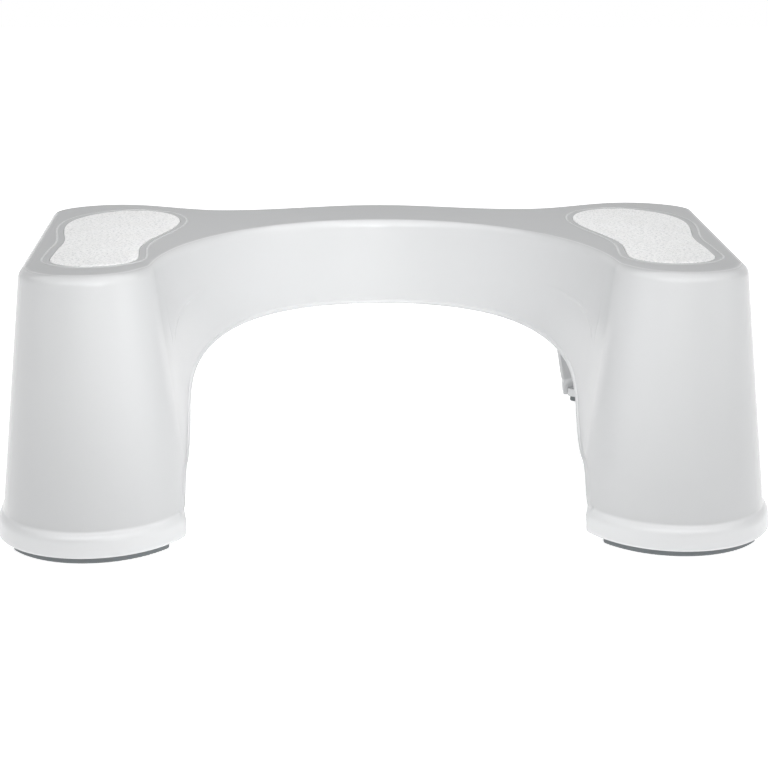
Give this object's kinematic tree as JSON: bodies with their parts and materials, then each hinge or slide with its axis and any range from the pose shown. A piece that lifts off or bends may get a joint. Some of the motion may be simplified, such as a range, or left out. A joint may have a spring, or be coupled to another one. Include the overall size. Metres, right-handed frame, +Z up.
{
  "type": "toilet footstool",
  "caption": "Low white moulded footstool with a curved bay that fits round a toilet's foot, arched underneath, with sole-shaped grit pads and rubber floor strips.",
  "frame": {"origin": "on the floor, at the middle of the stool's footprint", "axes": "+Z up; +X to the right for a person who sits on the toilet and looks over the stool; +Y away from the toilet, so the bay opens towards -Y"},
  "size_m": [0.5676, 0.4032, 0.1809],
  "materials": {
    "shell_plastic": "gloss white polypropylene, smooth from a polished mould",
    "pad_grit": "light grey anti-slip sheet with a fine grit",
    "strip_rubber": "matte dark grey rubber"
  },
  "bodies": {
    "root": {"shell": "shell_plastic", "left_foot_pad": "pad_grit", "right_foot_pad": "pad_grit", "left_heel_strip": "strip_rubber", "right_heel_strip": "strip_rubber", "left_toe_strip": "strip_rubber", "right_toe_strip": "strip_rubber"}
  },
  "joints": []
}
